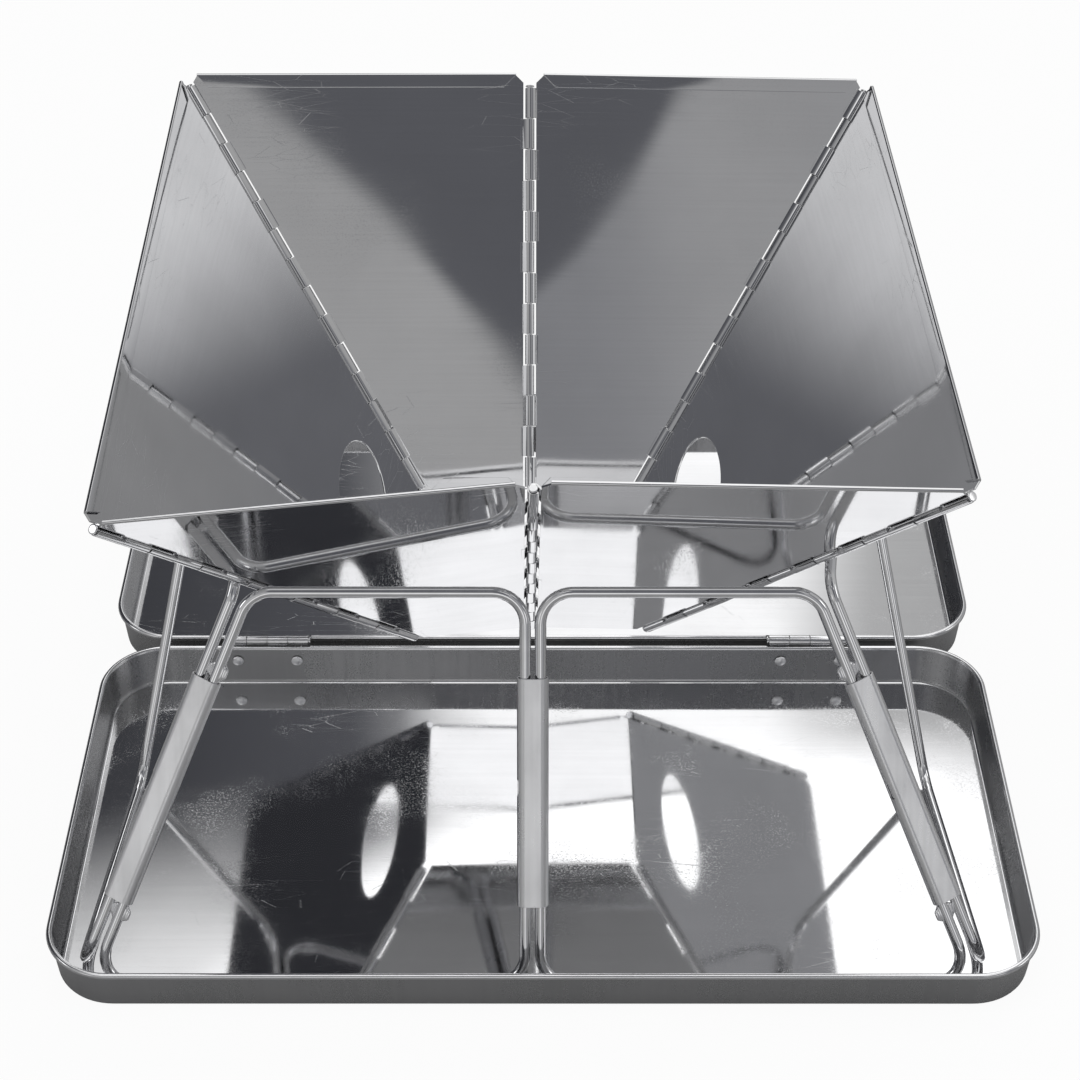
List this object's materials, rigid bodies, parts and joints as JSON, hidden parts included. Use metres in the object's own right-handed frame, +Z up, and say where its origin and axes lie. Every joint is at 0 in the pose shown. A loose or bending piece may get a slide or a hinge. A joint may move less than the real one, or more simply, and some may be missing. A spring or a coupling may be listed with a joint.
{
  "type": "folding charcoal grill",
  "caption": "Folding charcoal grill: a hinged sheet firebox shaped as an upside-down pyramid, on a folding wire stand in an open case of hinged trays.",
  "frame": {"origin": "centre of the flat underside of the base tray", "axes": "+Z up, -Y towards the front, away from the lid tray, and +X to the right as seen from the front"},
  "size_m": [0.3498, 0.3645, 0.2035],
  "materials": {
    "case_steel": "satin stainless steel sheet, pressed",
    "panel_steel": "bright stainless steel sheet with fine scratches",
    "wire_steel": "polished stainless steel wire",
    "sleeve_steel": "satin stainless steel sheet, wrapped",
    "bright_steel": "bright stainless steel"
  },
  "bodies": {
    "base": {"base_tray": "case_steel", "left_rim_hinge_base_leaf": "bright_steel", "right_rim_hinge_base_leaf": "bright_steel", "left_rim_hinge_pin": "bright_steel", "right_rim_hinge_pin": "bright_steel", "left_base_rivet_outer": "bright_steel", "left_base_rivet_inner": "bright_steel", "right_base_rivet_outer": "bright_steel", "right_base_rivet_inner": "bright_steel"},
    "lid": {"lid_tray": "case_steel", "left_rim_hinge_lid_leaf": "bright_steel", "right_rim_hinge_lid_leaf": "bright_steel", "left_lid_rivet_outer": "bright_steel", "left_lid_rivet_inner": "bright_steel", "right_lid_rivet_outer": "bright_steel", "right_lid_rivet_inner": "bright_steel"},
    "firebox_left": {"left_panel": "panel_steel", "front_left_pin": "bright_steel", "rear_left_pin": "bright_steel"},
    "firebox_rear_left": {"rear_left_panel": "panel_steel", "rear_centre_pin": "bright_steel"},
    "firebox_rear_right": {"rear_right_panel": "panel_steel"},
    "firebox_right": {"right_panel": "panel_steel", "rear_right_pin": "bright_steel", "front_right_pin": "bright_steel"},
    "firebox_front_right": {"front_right_panel": "panel_steel", "front_centre_pin": "bright_steel"},
    "firebox_front_left": {"front_left_panel": "panel_steel"},
    "stand_centre": {"centre_sleeve": "sleeve_steel"},
    "stand_front_left": {"front_left_frame": "wire_steel"},
    "stand_front_right": {"front_right_frame": "wire_steel"},
    "stand_left_corner": {"left_corner_sleeve": "sleeve_steel"},
    "stand_right_corner": {"right_corner_sleeve": "sleeve_steel"},
    "stand_left_side": {"left_side_frame": "wire_steel"},
    "stand_right_side": {"right_side_frame": "wire_steel"}
  },
  "joints": [
    {"name": "lid_hinge", "type": "hinge", "parent": "base", "child": "lid", "pos_m": [0, 0.09235, 0.01765], "axis": [1, 0, 0], "range_deg": [0, 48]},
    {"name": "firebox_lift", "type": "slide", "parent": "base", "child": "firebox_left", "axis": [0, 0, 1], "range_m": [0, 0.4]},
    {"name": "rear_left_hinge", "type": "hinge", "parent": "firebox_left", "child": "firebox_rear_left", "pos_m": [-0.0053, 0.0892, 0.0022], "axis": [0.5008, -0.4964, -0.7091], "range_deg": [0, 37.75]},
    {"name": "firebox_fold", "type": "hinge", "parent": "firebox_rear_left", "child": "firebox_rear_right", "pos_m": [-0.0053, 0.0892, 0.0022], "axis": [0.0007, 0.5633, 0.8262], "range_deg": [0, 60]},
    {"name": "rear_right_hinge", "type": "hinge", "parent": "firebox_rear_right", "child": "firebox_right", "pos_m": [-0.0053, 0.0892, 0.0022], "axis": [-0.4987, -0.5358, -0.6813], "range_deg": [0, 34.48]},
    {"name": "front_right_hinge", "type": "hinge", "parent": "firebox_right", "child": "firebox_front_right", "pos_m": [-0.0053, 0.0892, 0.0022], "axis": [-0.5084, 0.509, -0.6946], "range_deg": [0, 35.24]},
    {"name": "front_left_hinge", "type": "hinge", "parent": "firebox_left", "child": "firebox_front_left", "pos_m": [-0.0053, 0.0892, 0.0022], "axis": [-0.492, -0.548, 0.6765], "range_deg": [0, 31.88]},
    {"name": "stand_lift", "type": "slide", "parent": "base", "child": "stand_centre", "axis": [0, 0, 1], "range_m": [0, 0.2]},
    {"name": "centre_left_swing", "type": "hinge", "parent": "stand_centre", "child": "stand_front_left", "pos_m": [-0.00625, -0.08, 0.0031], "axis": [0, 0.4215, 0.9068], "range_deg": [0, 22]},
    {"name": "centre_right_swing", "type": "hinge", "parent": "stand_centre", "child": "stand_front_right", "pos_m": [-0.00095, -0.08, 0.0031], "axis": [0, -0.4215, -0.9068], "range_deg": [0, 22]},
    {"name": "left_sleeve_swing", "type": "hinge", "parent": "stand_front_left", "child": "stand_left_corner", "pos_m": [-0.15845, -0.08, 0.0031], "axis": [-0.384, -0.3892, -0.8373], "range_deg": [0, 44]},
    {"name": "left_frame_swing", "type": "hinge", "parent": "stand_left_corner", "child": "stand_left_side", "pos_m": [-0.1631, -0.0777, 0.00417], "axis": [-0.384, -0.3892, -0.8373], "range_deg": [0, 44]},
    {"name": "right_sleeve_swing", "type": "hinge", "parent": "stand_front_right", "child": "stand_right_corner", "pos_m": [0.15125, -0.08, 0.0031], "axis": [-0.384, 0.3892, 0.8373], "range_deg": [0, 44]},
    {"name": "right_frame_swing", "type": "hinge", "parent": "stand_right_corner", "child": "stand_right_side", "pos_m": [0.1559, -0.0777, 0.00417], "axis": [-0.384, 0.3892, 0.8373], "range_deg": [0, 44]}
  ],
  "couplings": [
    {"joint": "rear_left_hinge", "follows": "firebox_fold", "ratio": 0.6291},
    {"joint": "rear_right_hinge", "follows": "firebox_fold", "ratio": 0.5745},
    {"joint": "front_right_hinge", "follows": "firebox_fold", "ratio": 0.5872},
    {"joint": "front_left_hinge", "follows": "firebox_fold", "ratio": 0.5312},
    {"joint": "stand_lift", "follows": "firebox_lift", "ratio": 0.5},
    {"joint": "centre_left_swing", "follows": "firebox_lift", "rad_per_m": 0.9598},
    {"joint": "centre_right_swing", "follows": "firebox_lift", "rad_per_m": 0.9598},
    {"joint": "left_sleeve_swing", "follows": "firebox_lift", "rad_per_m": 1.9197},
    {"joint": "left_frame_swing", "follows": "firebox_lift", "rad_per_m": 1.9197},
    {"joint": "right_sleeve_swing", "follows": "firebox_lift", "rad_per_m": 1.9197},
    {"joint": "right_frame_swing", "follows": "firebox_lift", "rad_per_m": 1.9197}
  ]
}
